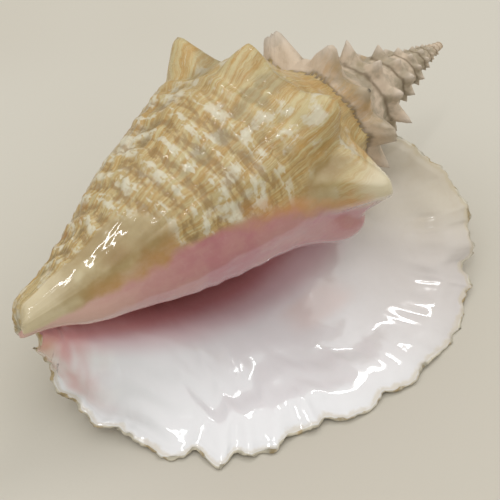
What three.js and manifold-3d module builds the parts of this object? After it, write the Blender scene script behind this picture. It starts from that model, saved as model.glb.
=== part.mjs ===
// Queen conch shell, one naturally grown solid, at life size in millimetres.
// It is worked out in the shell's own coil frame (coil axis on z, apex at the origin, canal tip at
// z = -LENGTH, aperture facing -y, outer lip towards +x), then turned to the way it rests: aperture up,
// coil axis along +X, on the shoulder spikes of its back and the outer rim of the flared lip.
import * as THREE from "three";
import { LoftGeometry } from "three/addons/geometries/LoftGeometry.js";
import { mergeVertices } from "three/addons/utils/BufferGeometryUtils.js";
import Module from "manifold-3d";

// ---- Driving dimensions (mm, degrees) ----
const LENGTH = 230; // apex to the tip of the siphonal canal
const SHOULDER_H = 131.5; // depth of the last whorl's shoulder below the apex, at the aperture
const SHOULDER_R = 56.5; // radius of that shoulder from the coil axis
const GROW_H = 1.41; // growth of the shoulder depth in one turn
const GROW_R = 1.53; // growth of the shoulder radius in one turn
const APEX_H = 5; // the first whorls are drawn down to the apex by this much
const APEX_R = 1; // radius the apex starts from
const APERTURE_AZ = -8; // azimuth of the shoulder at growth angle 0
const SUTURE = 1.1; // depth of a suture as a multiple of the covered shoulder's depth
const LAST_WALL = -75; // growth angle where the last whorl's wall leaves the coil and becomes the lip
const WALL = 5; // wall thickness in the throat
const RIM = 2.6; // wall thickness at the rim of the lip
const RISE = 0.25; // how far the lip's face turns up towards its rim
const TIP_SLANT = 5; // the canal's left edge ends this much before its tip
const CALLUS = 5; // thickness of the glazed callus on the columella
const SHIELD = 8.5; // thickness of the callus shield at the aperture's spire end
const REST_UP = new THREE.Vector3(-0.578, -0.816, 0.009); // up direction at rest, in the coil frame

// Base of the last whorl: share of the way from shoulder to canal tip, and share of the shoulder radius.
const BASE = [[0, 1], [0.08, 1], [0.2, 0.95], [0.35, 0.83], [0.55, 0.6], [0.72, 0.4], [0.86, 0.27], [1, 0.16]];

// Rim of the lip from the spire, round the wing, to the canal: x, y, depth, and the depth on the whorl
// that the same rib of the lip starts from.
const LIP = [
  [6, 5, 52, 70], [31, 6, 41, 80], [44, 6, 34, 85], [57, 7, 34, 89], [68, 8, 37, 93], [77, 8, 43, 97],
  [88, 10, 54, 101], [96, 8, 65, 105], [103, 5, 82, 110], [105, 3, 100, 117], [104, 3, 123, 128],
  [100, 5, 146, 140], [94, 9, 163, 152], [89, 13, 180, 164], [81, 19, 194, 176], [68, 27, 206, 189],
  [52, 33, 213, 199], [37, 37, 217, 208], [23, 33, 220, 216], [9, 22, 222, 224],
];

// Shoulder spikes: growth angle, and height above the shoulder.
const SPIKES = [
  [-76, 12.5], [-114, 16], [-153, 17], [-187, 15], [-230, 6], [-278, 10], [-321, 15.5],
  [-557, 15], [-604, 11.5], [-641, 8], [-678, 9], [-448, 9], [-488, 11], [-524, 12],
  [-718, 9], [-758, 8], [-798, 8], [-838, 9], [-877, 8], [-912, 8], [-942, 9], [-982, 6], [-1024, 6],
  [-1062, 8], [-1096, 6], [-1130, 5], [-1170, 5], [-1212, 5], [-1256, 5], [-1303, 5], [-1345, 4],
];
const SPIKE_LEAN = 0.15; // how far a spike leans towards the apex, as a slope
const LAST_KNOB = { rib: 0.5, along: 0.3, height: 4.5 }; // the newest spike, low on the back of the lip
const SMALL_SPIKES = { from: -1382, to: -2300, step: -58, height: 0.36 }; // height as a share of the radius

const TURN = 2 * Math.PI;
const rad = THREE.MathUtils.degToRad;
const { clamp, lerp, smoothstep } = THREE.MathUtils;
const wasm = await Module();
wasm.setup();

// Depth and radius of the shoulder at growth angle t, and the depth of the suture above it.
function shoulderH(t) {
  const grown = SHOULDER_H * GROW_H ** (t / TURN);
  return grown - APEX_H * Math.exp(-grown / (5 * APEX_H));
}
function shoulderR(t) {
  const grown = SHOULDER_R * GROW_R ** (t / TURN);
  return grown + APEX_R * Math.exp(-grown / (8 * APEX_R));
}
const sutureH = (t) => Math.max(shoulderH(t - TURN) * SUTURE, 0);
const azimuth = (t) => rad(APERTURE_AZ) - t;
const baseSpan = new THREE.SplineCurve(BASE.map(([a, b]) => new THREE.Vector2(a, b)));

function baseShare(tau) {
  let lo = 0, hi = 1;
  for (let i = 0; i < 24; i++) {
    const mid = (lo + hi) / 2;
    if (baseSpan.getPoint(mid).x < tau) lo = mid;
    else hi = mid;
  }
  return baseSpan.getPoint(lo).y;
}

// Radius of the whorl of growth angle t at depth h: a sloping ramp from the suture to the shoulder, then
// the base that narrows to the canal.
function whorlR(t, h) {
  const hs = shoulderH(t), rs = shoulderR(t), hu = sutureH(t);
  if (h < hs) {
    const ru = shoulderR(t - TURN) * 0.93, s = clamp((h - hu) / (hs - hu), 0, 1);
    return ru + (rs - ru) * (0.45 * s + 0.55 * s ** 1.7);
  }
  return rs * baseShare((h - hs) / (LENGTH - hs));
}

// The whorl whose outside shows at azimuth az and depth h, when growth has stopped at tEnd.
function showing(az, h, tEnd) {
  let t = rad(APERTURE_AZ) - az;
  t -= Math.ceil((t - tEnd) / TURN) * TURN;
  for (let i = 0; i < 12 && h < sutureH(t); i++) t -= TURN;
  return t;
}

const point = (az, r, h) => new THREE.Vector3(r * Math.cos(az), r * Math.sin(az), -h);
const nearAngle = (a, b) => Math.abs(Math.atan2(Math.sin(a - b), Math.cos(a - b)));

// The canal's left edge is drawn back, so its mouth is slanted.
function slant(p) {
  const left = 0.5 - 0.5 * Math.cos(Math.atan2(p.y, p.x) - rad(20));
  p.z += TIP_SLANT * left * smoothstep(-p.z, 185, LENGTH);
  return p;
}

// A closed loft as a manifold solid.
function loft(sections, caps = true) {
  const skin = new LoftGeometry(sections, { capStart: caps, capEnd: caps });
  const g = new THREE.BufferGeometry().setIndex(skin.index).setAttribute("position", skin.attributes.position);
  const m = mergeVertices(g, 1e-3);
  const solid = new wasm.Manifold(new wasm.Mesh({
    numProp: 3, vertProperties: m.attributes.position.array, triVerts: new Uint32Array(m.index.array),
  }));
  if (solid.volume() < 0) throw new Error("a loft is inside out");
  return solid;
}

// ---- Coiled body: spire, last whorl, columella with its callus, and canal ----
const COLUMNS = 36;
const depths = [];
for (let h = 1.2; h < 64; h += 1.5 + h * 0.035) depths.push(h);
const below = depths.at(-1);
for (let i = 1; i <= 24; i++) depths.push(lerp(below, LENGTH, i / 24));
const body = loft(depths.map((h) => Array.from({ length: COLUMNS }, (_, i) => {
  const az = -(i / COLUMNS) * TURN;
  const t = showing(az, h, rad(LAST_WALL + 1.5));
  const callus = CALLUS * Math.exp(-((nearAngle(az, rad(-2)) / 0.62) ** 2)) *
    smoothstep(h, 112, 172) * (1 - smoothstep(h, 198, 226));
  const shield = SHIELD * Math.exp(-(((h - 96) / 17) ** 2) - (nearAngle(az, rad(-6)) / 0.42) ** 2) *
    smoothstep(h, 74, 86);
  return slant(point(az, whorlR(t, h) + callus + shield, h));
})));

// ---- Flared lip: ribs that leave the whorl tangentially and run out to the rim ----
const spline = (list) => new THREE.CatmullRomCurve3(list, false, "catmullrom", 0.5);
const rim = spline(LIP.map(([x, y, h]) => new THREE.Vector3(x, y, -h)));
const rootH = spline(LIP.map(([, , , h]) => new THREE.Vector3(h, 0, 0)));
const throat = new THREE.Vector3(30, 28, -130);

// Rib v of the lip as a Bezier curve, from the whorl's wall to the rim.
function rib(v) {
  const t = rad(LAST_WALL), h = rootH.getPoint(v).x, az = azimuth(t);
  const root = slant(point(az, whorlR(t, h) - 0.15, h));
  const ahead = slant(point(azimuth(t + 0.02), whorlR(t + 0.02, h), h));
  const end = rim.getPoint(v);
  const reach = root.distanceTo(end);
  const grow = ahead.sub(root).normalize();
  grow.z += clamp((end.z - root.z) / reach, -0.8, 0.8) * 0.8;
  grow.normalize();
  const flare = end.clone().sub(throat).normalize().addScaledVector(REST_UP, RISE).normalize();
  const leave = lerp(0.1, 0.4, smoothstep(v, 0.02, 0.16));
  return new THREE.CubicBezierCurve3(root, root.clone().addScaledVector(grow, reach * leave),
    end.clone().addScaledVector(flare, -reach * 0.35), end);
}

const RIBS = 42, ALONG = 8;
const ribs = Array.from({ length: RIBS + 1 }, (_, i) => rib(i / RIBS).getPoints(ALONG));
const sections = ribs.map((row, i) => {
  const before = ribs[Math.max(i - 1, 0)], after = ribs[Math.min(i + 1, RIBS)];
  const inner = row.map((p, k) => {
    const across = after[k].clone().sub(before[k]);
    const out = row[Math.min(k + 1, ALONG)].clone().sub(row[Math.max(k - 1, 0)]);
    const n = across.cross(out).normalize();
    return p.clone().addScaledVector(n, lerp(WALL, RIM, smoothstep(k / ALONG, 0, 0.85)));
  });
  const back = row[0].clone().sub(row[1]).setLength(4);
  const into = inner[0].clone().sub(row[0]).normalize();
  const buried = row[0].clone().add(back).addScaledVector(into, 1.2);
  const buriedInner = inner[0].clone().add(back).addScaledVector(into, 0.6);
  return [buried, ...row, ...inner.reverse(), buriedInner];
});

// The strip's two ends close on their middle line, as a hem.
function hem(section) {
  const n = section.length;
  const half = section.slice(0, n / 2).map((p, k) => p.clone().lerp(section[n - 1 - k], 0.5));
  return [...half, ...half.map((p) => p.clone()).reverse()];
}
sections.unshift(hem(sections[0]));
sections.push(hem(sections[sections.length - 1]));
const lip = loft(sections, false);

// ---- Shoulder spikes: blunt cones ----
function cone(root, axis, along, size, height) {
  const up = axis.clone().cross(along).normalize();
  const rings = [[-0.5 * size, 1.1], [0.6 * height, 0.5], [height, 0.2]];
  return loft(rings.map(([lift, share]) => Array.from({ length: 6 }, (_, i) => {
    const a = (i / 6) * TURN;
    return root.clone().addScaledVector(axis, lift)
      .addScaledVector(along, Math.cos(a) * share * size).addScaledVector(up, Math.sin(a) * share * size);
  })));
}

function spike(t, height) {
  const az = azimuth(t), r = shoulderR(t);
  const along = new THREE.Vector3(Math.sin(az), -Math.cos(az), 0);
  return cone(point(az, r, shoulderH(t)), point(az, 1, -SPIKE_LEAN), along,
    Math.min(height * 0.8, r * 0.42), height);
}

let shell = body.add(lip);
for (const [t, height] of SPIKES) shell = shell.add(spike(rad(t), height));
shell = shell.add(cone(rib(LAST_KNOB.rib).getPoint(LAST_KNOB.along), REST_UP.clone().negate().normalize(),
  new THREE.Vector3(0, 0, -1), LAST_KNOB.height, LAST_KNOB.height));
for (let t = SMALL_SPIKES.from; t > SMALL_SPIKES.to; t += SMALL_SPIKES.step) {
  shell = shell.add(spike(rad(t), SMALL_SPIKES.height * shoulderR(rad(t))));
}

// ---- Throat: the hollow that winds back from the aperture into the last whorl ----
const hollow = [];
for (let t = LAST_WALL + 7; t > -310; t -= 16) {
  const a = rad(t), hu = sutureH(a), hs = shoulderH(a), from = lerp(hu, hs, 0.74), to = 206;
  const outer = [], inner = [];
  for (let i = 0; i <= 5; i++) {
    const h = lerp(from, to, i / 5), ri = whorlR(a - TURN, h) + 0.7;
    outer.push(point(azimuth(a), Math.max(whorlR(a, h) - WALL, ri + 0.8), h));
    inner.push(point(azimuth(a), ri, h));
  }
  hollow.push([...outer, ...inner.reverse()]);
}
shell = shell.subtract(loft(hollow));

// ---- One mesh, turned to its rest pose and set on its lowest points ----
const solidMesh = shell.getMesh();
const geometry = new THREE.BufferGeometry()
  .setAttribute("position", new THREE.BufferAttribute(new Float32Array(solidMesh.vertProperties), 3))
  .setIndex(new THREE.BufferAttribute(new Uint32Array(solidMesh.triVerts), 1));
const across = new THREE.Vector3(0, 0, 1);
const up = REST_UP.clone().normalize();
const forward = across.clone().addScaledVector(up, -across.dot(up)).normalize();
const side = up.clone().cross(forward);
geometry.applyMatrix4(new THREE.Matrix4().makeBasis(forward, side, up).transpose());
geometry.computeBoundingBox();
const box = geometry.boundingBox;
geometry.translate(-(box.min.x + box.max.x) / 2, -(box.min.y + box.max.y) / 2, -box.min.z);
geometry.computeVertexNormals();

const conch = new THREE.Mesh(geometry,
  new THREE.MeshStandardMaterial({ color: 0xe6d3bd, roughness: 0.35, metalness: 0 }));
conch.name = "conch_shell";

const group = new THREE.Group();
group.name = "conch";
group.add(conch);
export default group;
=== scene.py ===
import bmesh
import bpy
import math
import numpy as np
from mathutils import Matrix, Vector


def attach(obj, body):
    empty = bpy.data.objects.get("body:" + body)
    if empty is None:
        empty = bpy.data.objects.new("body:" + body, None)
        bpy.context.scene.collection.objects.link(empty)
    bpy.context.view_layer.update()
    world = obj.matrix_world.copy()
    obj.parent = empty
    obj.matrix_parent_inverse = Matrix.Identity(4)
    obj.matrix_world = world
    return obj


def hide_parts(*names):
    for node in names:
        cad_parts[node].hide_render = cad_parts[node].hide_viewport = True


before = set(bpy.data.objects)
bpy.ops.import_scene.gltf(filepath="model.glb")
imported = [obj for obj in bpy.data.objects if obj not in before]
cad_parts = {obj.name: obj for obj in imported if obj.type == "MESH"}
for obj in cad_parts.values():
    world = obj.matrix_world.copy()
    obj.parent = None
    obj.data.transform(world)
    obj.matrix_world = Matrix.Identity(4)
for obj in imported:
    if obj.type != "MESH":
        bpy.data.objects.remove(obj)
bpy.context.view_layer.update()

# ---------------------------------------------------------------- shell sizes, mm, as in the CAD part
TURN = 2 * math.pi
LENGTH = 230.0  # apex to the tip of the siphonal canal
SHOULDER_H, SHOULDER_R = 131.5, 56.5  # depth and radius of the last whorl's shoulder, at the aperture
GROW_H, GROW_R = 1.41, 1.53  # growth of that depth and radius in one turn
APEX_H, APEX_R = 5.0, 1.0  # how far the first whorls are drawn down, and the apex's own radius
APERTURE_AZ = math.radians(-8)  # azimuth of the shoulder at growth angle 0
SUTURE = 1.1  # depth of a suture as a multiple of the covered shoulder's depth
LAST_WALL = math.radians(-75)  # growth angle where the last whorl's wall becomes the lip
WALL, RIM = 5.0, 2.6  # thickness of the wall in the throat and at the rim of the lip
THROAT = np.array([30, 28, -130.0])  # point in the aperture, in the coil frame, that the lip spreads from
RISE = 0.25  # how far the lip's face turns up towards its rim
TIP_SLANT = 5.0  # the canal's left edge ends this much before its tip
CALLUS, SHIELD = 5.0, 8.5  # thickness of the callus along the columella and at its spire end
REST_UP = np.array([-0.578, -0.816, 0.009])  # up direction at rest, in the coil frame
PLACE = np.array([115.566, 9.78, 64.415])  # where the coil frame's apex stands in the part's frame

# base of the last whorl: share of the way from shoulder to canal tip, and share of the shoulder radius
BASE = [(0, 1), (0.08, 1), (0.2, 0.95), (0.35, 0.83), (0.55, 0.6), (0.72, 0.4), (0.86, 0.27), (1, 0.16)]

# rim of the lip from spire to canal: x, y, depth, and the depth on the whorl that the same rib starts from
LIP = [
    (6, 5, 52, 70), (31, 6, 41, 80), (44, 6, 34, 85), (57, 7, 34, 89), (68, 8, 37, 93), (77, 8, 43, 97),
    (88, 10, 54, 101), (96, 8, 65, 105), (103, 5, 82, 110), (105, 3, 100, 117), (104, 3, 123, 128),
    (100, 5, 146, 140), (94, 9, 163, 152), (89, 13, 180, 164), (81, 19, 194, 176), (68, 27, 206, 189),
    (52, 33, 213, 199), (37, 37, 217, 208), (23, 33, 220, 216), (9, 22, 222, 224),
]

# lobes and notches of the rim: place on the rim, half width, height
LOBES = [
    (0.05, 0.02, 1.0), (0.12, 0.02, -1.2), (0.19, 0.02, 1.5), (0.235, 0.012, -1.5), (0.275, 0.012, 2.6),
    (0.305, 0.010, -3.2), (0.335, 0.014, 2.2), (0.37, 0.010, -1.2), (0.40, 0.02, 1.6), (0.455, 0.016, -1.0),
    (0.50, 0.014, 1.8), (0.53, 0.008, -1.8), (0.555, 0.014, 2.0), (0.59, 0.012, -3.0), (0.62, 0.02, -1.5),
    (0.655, 0.012, 2.6), (0.685, 0.008, 1.8), (0.702, 0.006, -2.6), (0.722, 0.012, 2.8), (0.748, 0.007, -2.6),
    (0.765, 0.010, 1.6), (0.80, 0.012, -1.0), (0.835, 0.013, -2.2), (0.86, 0.014, 2.0), (0.90, 0.01, -1.0),
    (0.935, 0.014, 1.5), (0.975, 0.012, -1.5),
]

# shoulder spikes: growth angle in degrees, height, half width of the foot, how blunt the top is, how far it
# is broken open, and its lean to the apex
SPIKES = [
    (-76, 12.5, 13, 0.1, 0, 0.15), (-114, 16, 15, 0.1, 0, 0.15), (-153, 17, 16, 0.1, 0, 0.15),
    (-187, 14.5, 15, 0.28, 0.1, 0.1), (-230, 6, 11, 0.3, 0, 0.1), (-278, 10, 13.5, 0.25, 0.45, 0.15),
    (-321, 15.5, 16.5, 0.42, 0, 0.17), (-448, 9, 8, 0.2, 0, 0.15), (-488, 11, 8, 0.2, 0, 0.15),
    (-524, 11, 8, 0.2, 0.3, 0.15), (-555, 16, 9.5, 0.5, 0.8, 0.25), (-604, 11.5, 7.5, 0.3, 0.5, 0.2),
    (-641, 7, 7, 0.2, 0, 0.15), (-678, 11, 8, 0.6, 0.45, 0.1), (-718, 8, 6.5, 0.2, 0, 0.15),
    (-758, 8, 6, 0.2, 0, 0.15), (-798, 8, 6, 0.1, 0, 0.15), (-838, 8.5, 6, 0.1, 0, 0.15),
    (-877, 8, 5.5, 0.2, 0.3, 0.15), (-912, 7, 5, 0.1, 0, 0.15), (-942, 8.5, 5, 0.15, 0, 0.1),
    (-982, 6, 4.5, 0.1, 0, 0.15), (-1024, 6, 4.5, 0.1, 0, 0.15), (-1062, 8.5, 5, 0.15, 0, 0.15),
    (-1096, 6, 4.5, 0.2, 0.4, 0.15), (-1130, 5, 4.5, 0.1, 0, 0.15), (-1170, 5, 4, 0.1, 0, 0.15),
    (-1212, 4.5, 4, 0.1, 0, 0.15), (-1256, 5, 4, 0.1, 0, 0.15), (-1303, 5.5, 3.8, 0.1, 0, 0.15),
    (-1345, 3.6, 3.2, 0.1, 0, 0.15),
]
LAST_TURN_SPIKES = 7  # the first of them stand on the last whorl
SMALL_FROM, SMALL_STEP, SMALL_COUNT = -1382, 40, 40  # the small ones up to the apex, in degrees
for k in range(SMALL_COUNT):
    place_deg = SMALL_FROM - SMALL_STEP * k
    tall = 0.36 * (SHOULDER_R * GROW_R ** (place_deg / 360) + 0.4) * (1 + 0.25 * math.sin(5.3 * k))
    SPIKES.append((place_deg, tall, 1.05 * tall, 0.15, 0, 0.15))


# ---------------------------------------------------------------- small helpers
def unit(v):
    return v / (np.linalg.norm(v, axis=-1, keepdims=True) + 1e-12)


def smooth(x, a, b):
    """0 where x is under a, 1 where it is over b, smooth between."""
    s = np.clip((x - a) / (b - a), 0, 1)
    return s * s * (3 - 2 * s)


def mix(a, b, t):
    """a at t = 0, b at t = 1."""
    return a + (b - a) * t


def hill(x, width):
    return np.exp(-(x / width) ** 2)


def spline(points, t, ends):
    """Catmull-Rom through points at t in 0..1; past the last points it is to 'hold' or 'carry' on."""
    p = np.asarray(points, float)
    lead, tail = (p[0], p[-1]) if ends == "hold" else (2 * p[0] - p[1], 2 * p[-1] - p[-2])
    q = np.vstack([lead, p, tail])
    s = np.clip(np.asarray(t, float), 0, 1) * (len(p) - 1)
    i = np.minimum(s.astype(int), len(p) - 2)
    u = (s - i)[..., None]
    a, b, c, d = q[i], q[i + 1], q[i + 2], q[i + 3]
    bend = (2 * a - 5 * b + 4 * c - d) * u * u + (3 * b - a - 3 * c + d) * u ** 3
    return 0.5 * (2 * b + (c - a) * u + bend)


def stack(x, y=0.0, z=0.0):
    x, y, z = np.broadcast_arrays(x, y, z)
    return np.stack([x, y, z], -1)


def lattice(i, j, k, seed):
    """A repeatable value in -1..1 for each whole-number place."""
    n = i * 374761393 + j * 668265263 + k * 1442695041 + seed * 1274126177
    n = (n ^ (n >> 13)) * 1103515245 + 12345
    n = (n ^ (n >> 15)) * 668265263
    n = n ^ (n >> 17)
    return (n & 0xFFFFF) / float(0xFFFFF) * 2 - 1


def noise(p, size, seed=0):
    """Smooth value noise in -1..1 at the points p, with cells of the given size."""
    q = np.asarray(p, float) / size
    i = np.floor(q).astype(np.int64)
    f = q - i
    f = f * f * f * (f * (f * 6 - 15) + 10)
    total = 0
    for dx in (0, 1):
        for dy in (0, 1):
            for dz in (0, 1):
                w = (f[..., 0] if dx else 1 - f[..., 0]) * (f[..., 1] if dy else 1 - f[..., 1])
                w = w * (f[..., 2] if dz else 1 - f[..., 2])
                total = total + w * lattice(i[..., 0] + dx, i[..., 1] + dy, i[..., 2] + dz, seed)
    return total


def fractal(p, size, octaves, seed):
    total = 0
    for o in range(octaves):
        total = total + 0.5 ** o * noise(p, size / 2 ** o, seed + o)
    return total


def row_lengths(grid):
    """How far each point of a grid lies along its row from the row's first point."""
    steps = np.linalg.norm(np.diff(grid, axis=1), axis=2)
    return np.concatenate([np.zeros((len(grid), 1)), np.cumsum(steps, axis=1)], 1)


grids = []  # positions, quads and attributes of every piece of surface
MEET = 0.00003  # points of neighbouring grids this close, in metres, become one


def add_grid(pos, attrs, flip=False):
    n, m = pos.shape[:2]
    ids = np.arange(n * m).reshape(n, m)
    quads = np.stack([ids[:-1, :-1], ids[:-1, 1:], ids[1:, 1:], ids[1:, :-1]], -1).reshape(-1, 4)
    if flip:
        quads = quads[:, ::-1]
    flat = {k: np.broadcast_to(a, (n, m)).reshape(-1) for k, a in attrs.items()}
    grids.append((pos.reshape(-1, 3), quads, flat))


# ---------------------------------------------------------------- coil; t is a growth angle, h a depth
base_curve = spline(BASE, np.linspace(0, 1, 1500), "hold")


def shoulder_h(t):
    grown = SHOULDER_H * GROW_H ** (t / TURN)
    return grown - APEX_H * np.exp(-grown / (5 * APEX_H))


def shoulder_r(t):
    grown = SHOULDER_R * GROW_R ** (t / TURN)
    return grown + APEX_R * np.exp(-grown / (8 * APEX_R))


def suture_h(t):
    return np.maximum(shoulder_h(t - TURN) * SUTURE, 0)


def arc_length(t):
    """Length of the shoulder line from the apex."""
    return SHOULDER_R * GROW_R ** (t / TURN) * TURN / math.log(GROW_R)


def whorl_r(t, h):
    """Radius of the plain whorl: a ramp from the suture to the shoulder, blended into the base."""
    hs, rs, hu = shoulder_h(t), shoulder_r(t), suture_h(t)
    ru = shoulder_r(t - TURN) * 0.93
    s = np.maximum((h - hu) / (hs - hu), 0)
    ramp = ru + (rs - ru) * (0.45 * s + 0.55 * s ** 1.7)
    base = rs * np.interp((h - hs) / (LENGTH - hs), base_curve[:, 0], base_curve[:, 1])
    k = 0.03 * rs  # how far the edge between the two is rounded
    return 0.5 * (ramp + base - np.sqrt((ramp - base) ** 2 + k * k)) + 0.25 * k * hill(ramp - base, k)


def slant(p):
    """Draws the canal's left edge back from its tip."""
    left = 0.5 - 0.5 * np.cos(np.arctan2(p[..., 1], p[..., 0]) - math.radians(20))
    p = p.copy()
    p[..., 2] += TIP_SLANT * left * smooth(-p[..., 2], 185, LENGTH)
    return p


def at(az, r, h):
    return stack(r * np.cos(az), r * np.sin(az), -h)


def apart(a, b):
    return np.abs(np.arctan2(np.sin(a - b), np.cos(a - b)))


# ---------------------------------------------------------------- spikes and relief of the outside
def spike_shape(a, b, size, blunt, broken):
    """Height share of a spike at a mm along the growth and b mm down from the shoulder."""
    d = np.hypot(a / size, np.where(b < 0, b / (0.85 * size), b / (1.2 * size)))
    turned = np.arctan2(a, b)
    d = d * (1 + 0.1 * np.sin(3 * turned + size) + 0.06 * np.sin(7 * turned + 2 * size))
    c = np.clip(1 - np.sqrt(d * d + 0.006), 0, 1)
    f = c * (0.42 + 0.58 * c) / (1 - 0.5 * blunt)
    top = 1 - 0.06 * blunt
    f = np.where(f > top - 0.12, top - 0.12 + 0.12 * np.tanh(np.maximum(f - top + 0.12, 0) / 0.12), f)
    if broken:
        chip = 0.1 * noise(stack(a, b), 1.6, 61)
        f = f - 0.34 * broken * smooth(f + chip, top - 0.15, top - 0.02)
    return f


def spike_push(t, b, rs):
    """How far the spikes lift the given places, lean them to the apex, and how near a top each place is."""
    push, lean, mask = np.zeros_like(t + b), np.zeros_like(t + b), np.zeros_like(t + b)
    for spike_deg, height, foot, blunt, broken, tilt in SPIKES:
        s = math.radians(spike_deg)
        near = np.abs(t - s) < 0.75
        if near.any():
            f = spike_shape((t - s) * rs, b, foot, blunt, broken) * near
            push = push + height * f
            lean = lean + height * f * tilt
            mask = np.maximum(mask, f)
    return push, lean, mask


def glaze_over(deg, q, p):
    """How far the last whorl is glazed over: beyond a worn edge, and over its canal end."""
    worn = deg + 14 * noise(p, 22, 3)
    canal = smooth(q + 0.1 * noise(p, 15, 4), 0.42, 0.7) * (1 - smooth(worn, -250, -222))
    return (1 - smooth(worn, -325, -285) * (1 - canal)) * smooth(deg, -440, -400)


def relief(t, b, q, p, rs):
    """Height of the cords, wrinkles and dents over the plain outside, how far it is glazed over, and the
    cords alone. b is the depth below the shoulder, q the place on the profile, p the point, and rs the
    radius of the shoulder."""
    deg = np.degrees(t)
    size = np.clip(rs / 45, 0.1, 1)
    last = smooth(deg, -440, -400)
    glazed = glaze_over(deg, q, p)
    along = arc_length(t)

    wander = 0.3 * noise(stack(along / 14, q * 5), 1.0, 5)
    cords = (0.5 + 0.5 * np.cos(TURN * (q * 13 + wander))) ** 1.4
    flank = last * (1 - 0.75 * glazed) * smooth(q, 0.03, 0.14) * (1 - smooth(q, 0.8, 0.97))
    out = 1.5 * (cords - 0.4) * flank * (0.7 + 0.6 * noise(p, 9, 6))
    ramp = smooth(-q, 0.05, 0.2) * (1 - smooth(-q, 0.85, 1.0))
    out = out + 0.25 * size * np.cos(TURN * q * 3.5) * ramp

    lines = along + b * 0.3 + 2.5 * noise(p, 18, 7)
    wrinkle = noise(stack(lines, b * 0.07), 3.6, 8) + 0.6 * noise(stack(lines, b * 0.1), 1.5, 9)
    matte = 1 - 0.85 * glazed
    out = out + size * matte * wrinkle * (0.33 + 0.3 * smooth(noise(p, 24, 11), -0.2, 0.5))
    out = out + size * 1.1 * fractal(p, 19, 2, 10) * (1 - 0.72 * glazed)
    out = out + size * 0.3 * fractal(p, 5, 3, 14) * matte
    out = out + 0.3 * (1 - last) * fractal(p, 3.4, 3, 41) * (0.4 + size)

    # a rib with a groove beside it runs down from each spike of the last whorl
    for spike_deg, *_ in SPIKES[:LAST_TURN_SPIKES]:
        a = (t - math.radians(spike_deg)) * rs + 0.12 * np.maximum(b, 0)
        a = a + 3 * noise(stack(b, spike_deg), 12, 31)
        down = np.exp(-np.maximum(b, 0) / 42) * smooth(b, -12, 8) * (1 - 0.5 * glazed)
        out = out + 3.1 * (hill(a, 6.5) - 0.5 * hill(a + 13, 6)) * down
    return out, glazed, cords


def callus_height(t, h, az):
    """Thickness of the callus along the columella, with the shield at its spire end."""
    ridge = CALLUS * hill(apart(az, math.radians(-2)), 0.62)
    ridge = ridge * smooth(h, 112, 172) * (1 - smooth(h, 198, 226))
    shield = SHIELD * hill(h - 96, 17) * hill(apart(az, math.radians(-6)), 0.42)
    shield = shield * smooth(h, suture_h(t), suture_h(t) + 12)
    deg = np.degrees(t) + 0 * h
    return (ridge + shield) * (deg > -560) * (deg < -200)


def outer_rows(t, h, q, curl):
    """Outside surface at growth angles t (n,1) and depths h (n,m); curl tucks it under the next whorl."""
    hs, rs, az = shoulder_h(t), shoulder_r(t), APERTURE_AZ - t
    tuck = curl * smooth(h, hs, hs * SUTURE)
    r = whorl_r(t, h) * (1 - 0.07 * tuck)
    p = at(az + 0 * h, r + callus_height(t, h, az), h)
    b = h - hs
    hump, glazed, cords = relief(t + 0 * h, b, q, p, rs)
    hump = hump * (1 - 0.85 * tuck)
    push, lean, mask = spike_push(t + 0 * h, b, rs)
    out = stack(np.cos(az) + 0 * h, np.sin(az) + 0 * h)
    p = p + out * (hump + push)[..., None] + stack(0, 0, lean)
    near_suture = np.exp(-np.abs(h - suture_h(t)) / (0.045 * hs))
    near_suture = near_suture + curl * np.exp(-np.abs(h - hs * SUTURE) / (0.03 * hs))
    attrs = dict(
        inner=0 * h, grow=(np.degrees(t) + 0 * h) / 360, prof=q, rib=0 * h, edge=60 + 0 * h, spike=mask,
        lift=hump, suture=np.clip(near_suture, 0, 1), glaze=glazed, deep=0 * h, along=0 * h,
        length=arc_length(t) + 0 * h, depth=h, cord=cords)
    return slant(p), attrs


# ---------------------------------------------------------------- spire and last whorl
STEPS = 240  # rows of points in a turn
FIRST, JOIN = -3585, -435  # growth angles, in degrees, of the first row and of the last turn's first row
ON_RAMP, TUCKED, ON_BASE = 20, 5, 84  # points from the suture to the shoulder, just below it, and the rest
ON_TOP = ON_RAMP + TUCKED + 1
DENSE, HALF_DENSE = 380, 920  # newest spire rows, all kept, then each second one, then each fourth


def upper(t):
    """Depths of a row's points from the suture to below the shoulder, and their places on the profile."""
    hs = shoulder_h(t)
    ramp = np.linspace(0, 1, ON_RAMP + 1)[None, :-1]
    below = mix(hs, hs * SUTURE, np.linspace(0, 1, TUCKED + 1)[None, :])
    h = np.concatenate([mix(suture_h(t), hs, ramp), below], 1)
    q = np.concatenate([ramp - 1 + 0 * t, (below - hs) / (LENGTH - hs)], 1)
    return h, q


def canal_cap(body, body_attrs):
    """Closes the last whorl's end with a small chipped beak."""
    ring = body[:, -1]
    beak = ring.mean(0) + np.array([3.2, -1.0, -2.5])
    chips = (0.35 * noise(ring, 1.7, 51))[:, None]
    cap = [ring]
    for share, sink, rough in ((0.18, 1.1, 1), (0.5, 1.0, 1.5), (0.8, 0.2, 1)):
        cap.append(mix(ring, beak, share) + [0, 0, -sink] + rough * chips)
    cap.append(0 * ring + beak)
    at_ring = {k: np.broadcast_to(a, body.shape[:2])[:, -1:] for k, a in body_attrs.items()}
    add_grid(np.stack(cap, 1), {k: np.repeat(a, len(cap), 1) for k, a in at_ring.items()})


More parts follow.
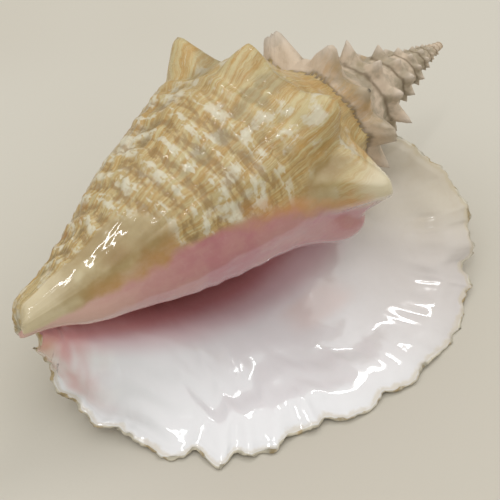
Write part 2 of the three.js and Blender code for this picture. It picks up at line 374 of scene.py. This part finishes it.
def whorls():
    """The spire, and the last whorl down to the end of the canal."""
    spire_steps = round((JOIN - FIRST) / 360 * STEPS)
    t_spire = np.radians(JOIN) + (np.arange(-spire_steps, 1) * TURN / STEPS)[:, None]
    t_body = np.radians(JOIN) + (np.arange(0, STEPS + 1) * TURN / STEPS)[:, None]
    spire, spire_attrs = outer_rows(t_spire, *upper(t_spire), 1.0)

    h_top, q_top = upper(t_body)
    hs = shoulder_h(t_body)
    h_base = mix(hs * SUTURE, LENGTH, np.linspace(0, 1, ON_BASE + 1)[None, 1:])
    h = np.concatenate([h_top, h_base], 1)
    q = np.concatenate([q_top, (h_base - hs) / (LENGTH - hs)], 1)
    curl = 1 - smooth(np.degrees(t_body), -435, -405)
    body, body_attrs = outer_rows(t_body, h, q, curl)

    # every whorl starts on the older whorl it grew over: its first row of points is that whorl's last one
    rows = np.concatenate([spire[:-1], body[:, :ON_TOP]], 0)
    fall = (1 - smooth(np.arange(ON_TOP), 0, 9))[:, None]
    for i in range(STEPS, len(rows)):
        rows[i] += (rows[i - STEPS, -1] - rows[i, 0]) * fall
    body[:, :ON_TOP] = rows[len(spire) - 1:]
    spire = rows[:len(spire)]

    # the smaller the whorl, the fewer rows it keeps
    kept = [i for i in range(len(spire))
            if i >= spire_steps - DENSE or i % (2 if i >= spire_steps - HALF_DENSE else 4) == 0]
    spire_attrs = {k: np.broadcast_to(a, spire.shape[:2])[kept] for k, a in spire_attrs.items()}
    spire = spire[kept]
    spire[0] = spire[0].mean(0)
    add_grid(spire, spire_attrs)
    add_grid(body, body_attrs)
    canal_cap(body, body_attrs)


whorls()

# ---------------------------------------------------------------- flared lip
RIBS, ALONG = 290, 58  # cells along the rim, and from the whorl out to the rim
BACK_R = 52.0  # radius that turns a length over the lip's back into a growth angle
KNOB_H, KNOB_FOOT, KNOB_PLACE = 5.5, 12.0, 0.3  # the newest spike, low on the lip's back at its middle rib
v = np.linspace(0, 1, RIBS + 1)
w = np.concatenate([np.linspace(0, 0.84, 42), np.linspace(0.84, 1, ALONG - 40)[1:]])
V, W = np.meshgrid(v, w, indexing="ij")
root_h = spline([(x[3],) for x in LIP], v, "carry")[:, 0]
rim_line = spline([(x[0], x[1], -x[2]) for x in LIP], v, "carry")
rim_arc = np.concatenate([[0], np.cumsum(np.linalg.norm(np.diff(rim_line, axis=0), axis=1))])


def root_at(t, sink):
    """The line on the last whorl that the lip's ribs start from, moved to growth angle t and sunk in."""
    return slant(at(APERTURE_AZ - t + 0 * root_h, whorl_r(t, root_h) - sink, root_h))


def calmed(sheet):
    """The sheet with its creases across the ribs smoothed out."""
    reach, width = 16, 8.0
    kernel = hill(np.arange(-reach, reach + 1), width)
    before = 2 * sheet[:1] - sheet[reach:0:-1]
    after = 2 * sheet[-1:] - sheet[-2:-reach - 2:-1]
    padded = np.concatenate([before, sheet, after], 0)
    return sum(k * padded[i:i + len(sheet)] for i, k in enumerate(kernel / kernel.sum()))


def lobed(sheet):
    """The sheet with the lobes, notches and small chips of its rim."""
    ahead = unit(np.gradient(rim_line, axis=0))
    radial = rim_line - THROAT
    radial = unit(radial - (radial * ahead).sum(-1, keepdims=True) * ahead)
    lobe = sum(height * hill(v - place, width) for place, width, height in LOBES)
    lobe = lobe + 1.0 * noise(stack(rim_arc), 6.5, 21) + 0.5 * noise(stack(rim_arc), 2.4, 22)
    so_far = row_lengths(sheet)
    near_rim = np.exp(-((so_far[:, -1:] - so_far) / 11) ** 1.3)
    return sheet + radial[:, None] * (lobe[:, None] * near_rim)[..., None]


def lip_sheet():
    """Back surface of the lip: each rib leaves the whorl along its growth and ends on the rim, flared."""
    root = root_at(LAST_WALL, 0.0)
    reach = np.linalg.norm(rim_line - root, axis=1)
    grow_dir = unit(root_at(LAST_WALL + 0.02, 0.0) - root)
    grow_dir[:, 2] += np.clip((rim_line[:, 2] - root[:, 2]) / reach, -0.8, 0.8) * 0.8
    grow_dir = unit(grow_dir)
    flare = unit(unit(rim_line - THROAT) + unit(REST_UP) * RISE)
    leave = mix(0.1, 0.4, smooth(v, 0.02, 0.16))
    p0, p3 = root, rim_line
    p1 = root + grow_dir * (reach * leave)[:, None]
    p2 = rim_line - flare * (reach * 0.35)[:, None]
    s = w[None, :, None]
    sheet = (1 - s) ** 3 * p0[:, None] + 3 * (1 - s) ** 2 * s * p1[:, None]
    sheet = sheet + 3 * (1 - s) * s ** 2 * p2[:, None] + s ** 3 * p3[:, None]
    inner_part = smooth(w, 0, 0.12) * (1 - smooth(w, 0.6, 0.95))
    sheet = mix(sheet, calmed(sheet), inner_part[None, :, None])
    return lobed(sheet), reach


def rim_waves(sheet, from_rim):
    """Flutes that fade away from the rim, the roll of the edge towards the back, and soft dents."""
    amp = 0.3 + 0.9 * smooth(v, 0.55, 0.64) * (1 - smooth(v, 0.8, 0.9))
    amp = amp + 0.5 * smooth(v, 0.2, 0.25) * (1 - smooth(v, 0.36, 0.42))
    amp = amp * (1 - smooth(v, 0.92, 0.99)) * (0.75 + 0.6 * noise(stack(rim_arc), 20, 27))
    phase = rim_arc / 17 + 0.9 * noise(stack(rim_arc), 31, 23)
    flute = (amp * np.sin(TURN * phase))[:, None] * np.exp(-from_rim / 13)
    ripple_phase = from_rim / 17 + 0.3 * noise(stack(V * 30), 3, 24)
    ripple = 0.5 * np.sin(TURN * ripple_phase) * hill(from_rim - 22, 14) * smooth(V, 0.35, 0.5)
    roll = 2.6 * hill(from_rim - 12, 8.5) * smooth(V, 0.1, 0.2) * (1 - smooth(V, 0.9, 0.98))
    dents = 1.3 * noise(sheet, 34, 25) * smooth(W, 0.0, 0.3)
    return (flute + roll + ripple + dents) * smooth(W, 0, 0.08)


def lip():
    """Back, rim and face of the lip. Returns the face and the attributes of its points."""
    sheet, reach = lip_sheet()
    inward = unit(np.cross(np.gradient(sheet, axis=0), np.gradient(sheet, axis=1)))
    arc = row_lengths(sheet)
    from_rim = arc[:, -1:] - arc
    waves = rim_waves(sheet, from_rim)

    # the growth of the outside goes on over the back of the lip
    hs, hu, rs = shoulder_h(LAST_WALL), suture_h(LAST_WALL), shoulder_r(LAST_WALL)
    t = LAST_WALL + arc / BACK_R
    b = root_h[:, None] - hs + 0 * arc
    q = b / (LENGTH - hs)
    q = np.clip(np.where(q < 0, (root_h[:, None] - hu) / (hs - hu) - 1, q), -1, 1)
    hump, _, cords = relief(t, b, q, sheet, BACK_R + 0 * arc)
    push, _, spike = spike_push(LAST_WALL + arc / rs, b, rs + 0 * arc)
    knob = spike_shape(arc - KNOB_PLACE * reach[:, None], (V - 0.5) * 260, KNOB_FOOT, 0.1, 0)
    outside = np.maximum(hump, -0.8) * mix(0.3, 1.0, smooth(from_rim, 0, 14)) + push + KNOB_H * knob
    back = sheet + inward * (waves - outside)[..., None]
    attrs = dict(
        inner=0 * arc, grow=np.degrees(t) / 360, prof=q, rib=V, edge=from_rim, spike=np.maximum(spike, knob),
        lift=hump, suture=0 * arc, glaze=0 * arc, deep=0 * arc, along=W, length=arc_length(LAST_WALL) + arc,
        depth=root_h[:, None] + 0 * arc, cord=cords)
    buried = [root_at(LAST_WALL - math.radians(d), s)[:, None] for d, s in ((7, 2.2), (3, 1.2), (0.6, 0.5))]
    at_root = {k: np.repeat(a[:, :1], len(buried), 1) for k, a in attrs.items()}
    add_grid(np.concatenate([*buried, back], 1),
             {k: np.concatenate([at_root[k], a], 1) for k, a in attrs.items()}, flip=True)

    thick = mix(WALL, RIM, smooth(W, 0, 0.85)) * mix(0.75, 1.0, smooth(from_rim, 0, 4))
    fill = 8 * hill(V - 0.15, 0.09) * (1 - smooth(W, 0.08, 0.7))
    front = sheet + inward * (waves + thick + fill)[..., None]

    # a blunt edge, chipped and layered
    edge_out, edge_in = back[:, -1], front[:, -1]
    rim_dir = unit(sheet[:, -1] - sheet[:, -3])
    rim = [edge_out]
    for s in (0.2, 0.5, 0.8):
        chip = 0.8 * noise(stack(rim_arc, s * 7), 2.6, 30 + int(s * 10))
        chip = chip + 0.5 * noise(stack(rim_arc, s * 5), 1.3, 40)
        rim.append(mix(edge_out, edge_in, s) + rim_dir * (0.9 * math.sin(math.pi * s) + chip)[:, None])
    rim.append(edge_in)
    rim_attrs = {k: np.repeat(a[:, -1:], len(rim), 1) for k, a in attrs.items()}
    rim_attrs["inner"] = np.array([[0, 0.2, 0.5, 0.8, 1.0]])
    add_grid(np.stack(rim, 1), rim_attrs, flip=True)

    # the two ends of the sheet are closed from its back to its face
    for i in (0, RIBS):
        end = np.stack([mix(back[i], front[i], s) for s in (0, 0.5, 1)], 1)
        add_grid(end, {k: np.repeat(a[i][:, None], 3, 1) for k, a in attrs.items()}, flip=i == 0)
    return front, attrs


def throat(front, attrs):
    """The lip's face, carried on along the last whorl's wall until it closes on the older whorl."""
    rings = 26
    ring = np.arange(1, rings + 1)[:, None]
    t = LAST_WALL - (ring / rings) ** 1.15 * math.radians(215)
    share = np.linspace(0, 1, RIBS + 1)[None]
    h_deep = mix(mix(suture_h(t), shoulder_h(t), 0.7), 212.0, share)
    h = mix(root_h[None], h_deep, smooth(ring, 0, 8))
    older = whorl_r(t - TURN, h)
    wall = np.maximum(whorl_r(t, h) - WALL, older + 0.3)
    wall = mix(wall, older + 0.1, smooth(ring, rings - 6, rings))
    tube = slant(at(APERTURE_AZ - t + 0 * h, wall, h))
    tube = np.transpose(tube, (1, 0, 2))[:, ::-1]
    gap = front[:, :1] - tube[:, -1:]
    tube = tube + gap * (1 - smooth(np.arange(rings)[::-1][None, :, None], 0, 6)) * 0.9
    attrs = {k: np.concatenate([np.repeat(a[:, :1], rings, 1), a], 1) for k, a in attrs.items()}
    deep = np.concatenate([np.linspace(1, 0, rings + 1)[:-1], 0 * w])[None]
    attrs.update(inner=1 + 0 * deep, spike=0 * deep, deep=deep)
    add_grid(np.concatenate([tube, front], 1), attrs)


def older_whorl():
    """The older whorl's face inside the throat."""
    t = np.radians(JOIN) - (np.linspace(0, 1, 36)[:, None] ** 1.1) * math.radians(225)
    h = mix(suture_h(t + TURN), LENGTH - 4, np.linspace(0, 1, 50)[None])
    r = np.minimum(whorl_r(t, h), whorl_r(t + TURN, h) - 3)
    face = slant(at(APERTURE_AZ - t + 0 * h, r, h))[::-1]
    add_grid(face, dict(
        inner=1.0, grow=-1.3, prof=0.4, rib=0.5, edge=60.0, spike=0.0, lift=0.0, suture=0.0, glaze=1.0,
        deep=1.0, along=0.0, length=500.0, depth=120.0, cord=0.0))


throat(*lip())
older_whorl()

# ---------------------------------------------------------------- one mesh in the part's frame
up = unit(REST_UP)
fwd = unit(np.array([0, 0, 1.0]) - up[2] * up)
side = np.cross(up, fwd)
turn = np.stack([fwd, side, up])


def to_part(p):
    """Coil frame in mm to the part's frame in metres; nothing goes below the ground."""
    placed = p @ turn.T + PLACE
    placed[..., 2] = 0.5 * (placed[..., 2] + np.sqrt(placed[..., 2] ** 2 + 0.25))
    return placed / 1000.0


def joined_mesh(name):
    """All the grids in one mesh, with their attributes, and with the points that meet made one."""
    verts = np.concatenate([to_part(p) for p, _, _ in grids])
    offsets = np.cumsum([0] + [len(p) for p, _, _ in grids[:-1]])
    faces = np.concatenate([f + o for (_, f, _), o in zip(grids, offsets)])
    mesh = bpy.data.meshes.new(name)
    mesh.vertices.add(len(verts))
    mesh.vertices.foreach_set("co", verts.astype(np.float32).ravel())
    mesh.loops.add(faces.size)
    mesh.loops.foreach_set("vertex_index", faces.astype(np.int32).ravel())
    mesh.polygons.add(len(faces))
    mesh.polygons.foreach_set("loop_start", np.arange(0, faces.size, 4, dtype=np.int32))
    mesh.polygons.foreach_set("use_smooth", np.ones(len(faces), bool))
    mesh.update(calc_edges=True)
    for key in grids[0][2]:
        values = np.concatenate([a[key] for _, _, a in grids]).astype(np.float32)
        mesh.attributes.new(key, "FLOAT", "POINT").data.foreach_set("value", values)
    bm = bmesh.new()
    bm.from_mesh(mesh)
    bmesh.ops.remove_doubles(bm, verts=bm.verts, dist=MEET)
    bm.to_mesh(mesh)
    bm.free()
    mesh.validate()
    return mesh


mesh = joined_mesh("conch_shell_fine")
shell = bpy.data.objects.new("conch_shell_fine", mesh)
bpy.context.collection.objects.link(shell)


# ---------------------------------------------------------------- node patterns, written as arithmetic
tree = None  # the node tree that the helpers below add to


def open_tree(owner):
    """Makes this material's or world's node tree the one in use, and gives its nodes."""
    global tree
    owner.use_nodes = True
    tree = owner.node_tree
    return tree.nodes


class Value:
    """A value inside the node tree."""

    def __init__(self, socket):
        self.socket = socket

    def __add__(self, other):
        return calc("ADD", self, other)

    def __sub__(self, other):
        return calc("SUBTRACT", self, other)

    def __rsub__(self, other):
        return calc("SUBTRACT", other, self)

    def __mul__(self, other):
        return calc("MULTIPLY", self, other)

    __radd__, __rmul__ = __add__, __mul__


def put(socket, x):
    if isinstance(x, Value):
        tree.links.new(x.socket, socket)
    else:
        socket.default_value = x


def calc(operation, a, b):
    n = tree.nodes.new("ShaderNodeMath")
    n.operation = operation
    put(n.inputs[0], a)
    put(n.inputs[1], b)
    return Value(n.outputs[0])


def step(x, a, b):
    """0 where x is under a, 1 where it is over b, smooth between."""
    n = tree.nodes.new("ShaderNodeMapRange")
    n.interpolation_type = "SMOOTHSTEP"
    put(n.inputs["Value"], x)
    n.inputs["From Min"].default_value, n.inputs["From Max"].default_value = a, b
    return Value(n.outputs[0])


def band(x, a, b, c, d):
    """0 outside a and d, 1 between b and c."""
    return step(x, a, b) * (1 - step(x, c, d))


def attr(name):
    n = tree.nodes.new("ShaderNodeAttribute")
    n.attribute_name = name
    return Value(n.outputs["Fac"])


def xyz(x, y, z=0.0):
    n = tree.nodes.new("ShaderNodeCombineXYZ")
    for socket, part in zip(n.inputs, (x, y, z)):
        put(socket, part)
    return Value(n.outputs[0])


def coordinate(kind):
    return Value(tree.nodes.new("ShaderNodeTexCoord").outputs[kind])


def cloud(vector, scale, detail=3.0, rough=0.55, distort=0.0):
    """Soft noise between about 0.25 and 0.75."""
    n = tree.nodes.new("ShaderNodeTexNoise")
    put(n.inputs["Vector"], vector)
    for key, x in (("Scale", scale), ("Detail", detail), ("Roughness", rough), ("Distortion", distort)):
        n.inputs[key].default_value = x
    return Value(n.outputs["Fac"])


def rgb(code):
    """Linear colour of an sRGB hex code."""
    channels = [((code >> s) & 255) / 255 for s in (16, 8, 0)]
    return tuple(c / 12.92 if c <= 0.04045 else ((c + 0.055) / 1.055) ** 2.4 for c in channels) + (1.0,)


def paint(under, over, amount):
    """Lays the colour over on the colour under; each is a hex code or a value."""
    n = tree.nodes.new("ShaderNodeMix")
    n.data_type = "RGBA"
    put(n.inputs["Factor"], amount)
    for socket, x in ((n.inputs[6], under), (n.inputs[7], over)):
        put(socket, rgb(x) if isinstance(x, int) else x)
    return Value(n.outputs[2])


def blend(under, over, amount):
    n = tree.nodes.new("ShaderNodeMix")
    put(n.inputs["Factor"], amount)
    put(n.inputs[2], under)
    put(n.inputs[3], over)
    return Value(n.outputs[0])


def bump(height, distance, strength):
    n = tree.nodes.new("ShaderNodeBump")
    n.inputs["Strength"].default_value, n.inputs["Distance"].default_value = strength, distance
    put(n.inputs["Height"], height)
    return Value(n.outputs[0])


# ---------------------------------------------------------------- shell material
material = bpy.data.materials.new("shell")
surface = open_tree(material)["Principled BSDF"]
inner, grow, prof, rib, edge = [attr(k) for k in ("inner", "grow", "prof", "rib", "edge")]
spike, lift, suture, glaze, deep = [attr(k) for k in ("spike", "lift", "suture", "glaze", "deep")]
along, length, depth, cord = [attr(k) for k in ("along", "length", "depth", "cord")]
where = coordinate("Object")

# noises shared by the patterns; lengths on the shell are in mm, object space is in metres
mottle = cloud(where, 48, 4, 0.6)
patch = cloud(where, 26, 3, 0.5, 0.4)
grain = cloud(where, 420, 4, 0.65)
fleck = cloud(where, 150, 3, 0.6)
swing = (mottle - 0.5) * 4.5
striae = cloud(xyz(length * 0.5 + depth * 0.1 + swing, depth * 0.024 + swing * 0.1), 1.0, 6, 0.72)
hair = cloud(xyz(length * 1.7 + depth * 0.34 + swing * 1.6, depth * 0.045), 1.0, 4, 0.75)
dashes = cloud(xyz(length * 0.16, depth * 0.42 + swing * 0.2), 1.0, 3, 0.5)


def streaked_outside():
    """Ochre and tan growth streaks over cream, white flecks on the cords, worn grey-white patches."""
    tint = paint(0xCDBD8C, 0xB98F45, step(striae, 0.4, 0.6) * 0.9)
    tint = paint(tint, 0xA87F3A, step(hair, 0.5, 0.64) * step(patch, 0.42, 0.56) * 0.75)
    tint = paint(tint, 0xD8CDA8, step(striae + (hair - 0.5) * 0.6, 0.6, 0.68) * 0.8)
    worn = mottle + (fleck - 0.5) * 0.9 + (hair - 0.5) * 0.3
    tint = paint(tint, 0xDAD4BE, step(worn, 0.55, 0.7) * 0.75)
    flank = band(prof, 0.12, 0.26, 0.8, 0.95)
    tint = paint(tint, 0x94703A, (1 - step(cord, 0.15, 0.5)) * flank * step(dashes, 0.42, 0.55) * 0.6)
    flecks = step(dashes + (fleck - 0.5) * 0.5, 0.47, 0.58)
    tint = paint(tint, 0xE0DAC2, step(cord, 0.35, 0.8) * flank * flecks * 0.8)
    # painted shade: olive-brown darkening in the low places of the relief, its grooves and dents
    tint = paint(tint, 0x8C7B55, step(0.0 - lift, 0.45, 1.5) * 0.55)
    tint = paint(tint, 0xA9752B, band(mottle, 0.3, 0.36, 0.4, 0.44) * step(patch, 0.5, 0.6) * 0.7)
    return paint(tint, 0xEFE8CC, band(spike, 0.3, 0.8, 2, 3) * (1 - step(grow, -0.86, -0.8)) * 0.8)


def spire_colour():
    """The older whorls: pinkish grey, stained tan, with dark tips on some spikes."""
    tint = paint(0xD2BFA8, 0xAD9F88, step(mottle + (fleck - 0.5) * 0.6, 0.4, 0.6))
    tint = paint(tint, 0xC39A5C, step(patch + (striae - 0.5) * 0.5, 0.5, 0.62) * 0.6)
    tint = paint(tint, 0xD9CBBB, step(spike, 0.25, 0.7) * 0.7)
    # painted shade: brown darkening in the low places of the older whorls' relief
    tint = paint(tint, 0x94835F, step(0.0 - lift, 0.05, 0.6) * 0.5)
    tips = step(spike + (fleck - 0.5) * 0.5, 0.86, 1.0)
    return paint(tint, 0x57503F, tips * step(mottle, 0.42, 0.52) * 0.85)


def veil_colour():
    """The translucent glaze over the canal end, paler at its tip."""
    tint = paint(0xA28A58, 0xB8A577, step(mottle, 0.4, 0.62))
    tint = paint(tint, 0x957035, step(patch, 0.48, 0.6) * 0.65)
    tint = paint(tint, 0xD2C69E, step(cloud(where, 70, 2, 0.5), 0.54, 0.66) * 0.6)
    return paint(tint, 0xD2C4A0, step(depth + (mottle - 0.5) * 30, 200, 224) * 0.75)


def callused(tint):
    """Adds the glaze's peach border and the pink callus along the columella."""
    flow = grow + (patch - 0.5) * 0.06 + (cloud(where, 110, 3, 0.5) - 0.5) * 0.06
    limit = step(prof, 0.06, 0.4) * 0.075 - step(prof, 0.5, 0.72) * 0.035
    flow = flow - (limit - step(prof, 0.8, 0.97) * 0.05 - 0.925)
    peach = 1 - step(flow, 0.0, 0.085)
    orange = paint(0xC08C50, 0xC79878, step(mottle, 0.42, 0.6))
    tint = paint(tint, orange, peach * coated * band(prof, 0.12, 0.25, 0.75, 0.9) * 0.7)
    border = band(flow, -0.012, 0.0, 0.012, 0.04) * band(prof, 0.03, 0.06, 0.3, 0.4)
    tint = paint(tint, 0xCF8A4C, border * 0.45)
    pink = (1 - step(flow, -0.022, 0.018)) * below_suture
    callus = paint(0xBC8280, 0xB67278, step(mottle, 0.42, 0.6))
    callus = paint(callus, 0xD9B7A6, step(prof, 0.45, 0.95) * 0.75)
    return paint(tint, callus, pink * step(glaze, 0.3, 0.6) * (1 - older))


def inside_colour():
    """Dusky pink in the throat, through rose to white; a grey-beige wing, and salmon stains by the canal."""
    reach = along + (patch - 0.5) * 0.06
    across = rib + (mottle - 0.5) * 0.1
    dusky = paint(0x9C524F, 0xC8888B, step(reach, 0.04, 0.2))
    rose = paint(dusky, 0xDDBEC4, step(reach, 0.17, 0.27))
    # the white is greyer towards the wing side: partly the lip's own grey-beige tone, partly painted shade on
    # that side
    white = paint(0xCFC8C4, 0xF0F1F4, step(across, 0.3, 0.62))
    tint = paint(rose, white, step(reach + (rib - 0.5) * 0.1, 0.24, 0.42))
    wing = 1 - step(across, 0.14, 0.34)
    tint = paint(tint, 0xCCC2AC, wing * (0.85 - 0.3 * step(edge, 0, 40)))
    tint = paint(tint, 0xC7BAA4, wing * step(mottle, 0.45, 0.6) * 0.5)
    stain = step(across, 0.82, 0.96) * step(cloud(xyz(rib * 15, along * 1.5, 3.0), 1.0, 2, 0.5), 0.34, 0.6)
    tint = paint(tint, 0xDDA0A0, stain * (1 - step(along, 0.75, 1.0)) * 0.85)
    tint = paint(tint, 0xD9A37F, step(rib, 0.95, 0.985) * step(along, 0.1, 0.3) * 0.6)
    blush = band(rib, 0.4, 0.46, 0.5, 0.56) * band(along, 0.36, 0.42, 0.5, 0.58)
    tint = paint(tint, 0xE0B9AC, blush * 0.3)
    return paint(tint, 0x8E4C48, step(deep, 0.02, 0.5) * 0.8)


outer = streaked_outside()
ramp = step(0.0 - prof, 0.03, 0.3) * (1 - step(0.0 - grow, 1.1, 1.3))  # the matte ramp under a suture
outer = paint(outer, 0xC29A5E, ramp * step(mottle, 0.4, 0.6) * 0.7)
older = step(0.0 - grow + (mottle - 0.5) * 0.5, 1.22, 1.42)
outer = paint(outer, spire_colour(), older)
# painted shade: dark brown along the suture creases between the older whorls
outer = paint(outer, 0x6E5A3C, step(suture, 0.35, 0.95) * 0.6 * step(0.0 - grow, 0.95, 1.1))
below_suture = step(prof, -0.1, -0.02)
coated = step(glaze + (fleck - 0.5) * 0.3, 0.35, 0.75) * (1 - older) * below_suture
outer = paint(outer, veil_colour(), coated * (1 - 0.75 * step(spike, 0.1, 0.4)))
outer = callused(outer)
lip_back = paint(outer, 0xCDBB93, step(grow, -0.22, -0.1) * step(mottle, 0.4, 0.6) * 0.6)
colour = paint(lip_back, inside_colour(), step(inner, 0.35, 0.65))
chalk = paint(0xDAD3BF, 0xB59C6A, step(fleck, 0.48, 0.6) * 0.8)
colour = paint(colour, chalk, (1 - step(edge, 0.3, 1.8)) * band(inner, 0.02, 0.2, 0.8, 0.98))
# a tan band on the face within about 2 mm of the rim
rim_tan_band = step(0.0 - edge + (fleck - 0.5) * 5, -2.2, -0.2) * step(inner, 0.9, 1.0)
colour = paint(colour, 0xC4B48E, rim_tan_band * 0.45)
put(surface.inputs["Base Color"], paint(colour, 0xFFFFFF, (grain - 0.5) * 0.1))

polished = calc("MAXIMUM", step(inner, 0.6, 0.95), coated)
dull = 0.32 + older * 0.3 + (mottle - 0.5) * 0.3 + ramp * 0.14
put(surface.inputs["Roughness"], calc("MAXIMUM", dull + (0.1 - dull) * polished, 0.07))
put(surface.inputs["Coat Weight"], polished * 0.5 + (1 - older) * 0.35)
surface.inputs["Coat Roughness"].default_value = 0.04
surface.inputs["IOR"].default_value = 1.53
texture = blend(hair * 0.7 + grain * 0.7 + fleck * 0.6, cloud(where, 55, 2, 0.5) * 2.0, polished)
put(surface.inputs["Normal"], bump(texture, 0.0006, 0.8))
mesh.materials.append(material)
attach(shell, "root")
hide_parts("conch_shell")

# ---------------------------------------------------------------- cloth-covered table
bpy.ops.mesh.primitive_plane_add(size=6, location=(0, 0, -0.0002))
floor = bpy.context.object
floor.name = "floor"
cloth = bpy.data.materials.new("cloth")
cloth_surface = open_tree(cloth)["Principled BSDF"]
plain = paint(0xCFCBC0, 0xCBC6BA, step(cloud(coordinate("Object"), 3, 2, 0.5), 0.4, 0.6))
weave = (cloud(coordinate("Object"), 900, 2, 0.6) - 0.5) * 0.5
put(cloth_surface.inputs["Base Color"], paint(plain, 0xC4BFB2, weave))
cloth_surface.inputs["Roughness"].default_value = 0.95
cloth_surface.inputs["Specular IOR Level"].default_value = 0.15
floor.data.materials.append(cloth)


# ---------------------------------------------------------------- light: a pale room and two thin lamps
def lamp(name, place, size, power):
    """A white rectangle of light, aimed at the shell; size is its width and height."""
    data = bpy.data.lights.new(name, "AREA")
    data.shape = "RECTANGLE"
    data.size, data.size_y = size
    data.energy, data.color = power, (1.0, 1.0, 1.0)
    light = bpy.data.objects.new(name, data)
    bpy.context.collection.objects.link(light)
    light.location = place
    light.rotation_euler = (-Vector(place)).to_track_quat("-Z", "Y").to_euler()


lamp("tube", (0.7, 0.13, 1.3), (0.5, 0.05), 2.4)
lamp("cross_tube", (-0.52, -0.28, 1.35), (0.05, 0.36), 1.6)
world = bpy.data.worlds.new("room")
bpy.context.scene.world = world
room = open_tree(world)["Background"]
height = tree.nodes.new("ShaderNodeSeparateXYZ")
put(height.inputs[0], coordinate("Generated"))
room.inputs["Color"].default_value = (1.0, 0.985, 0.95, 1)
put(room.inputs["Strength"], step(Value(height.outputs[2]), 0.15, 0.95) * 0.9 + 0.28)

# ---------------------------------------------------------------- camera, placed in the coil frame
FOCAL = 81.936  # mm, on a 36 mm sensor
EYE, RIGHT, ABOVE = (25.9, -389.3, -344.4), (0.5755, -0.3839, 0.7221), (-0.8178, -0.2702, 0.5081)
cam_data = bpy.data.cameras.new("camera")
cam_data.sensor_width = 36
cam_data.lens = FOCAL
cam = bpy.data.objects.new("camera", cam_data)
bpy.context.collection.objects.link(cam)
right, above = turn @ RIGHT, turn @ ABOVE
behind = np.cross(right, above)
cam_frame = np.eye(4)
cam_frame[:3] = np.stack([right, above, behind, to_part(np.array(EYE))], 1)
cam.matrix_world = Matrix(cam_frame.tolist())
bpy.context.scene.camera = cam
bpy.context.scene.view_settings.view_transform = "Standard"
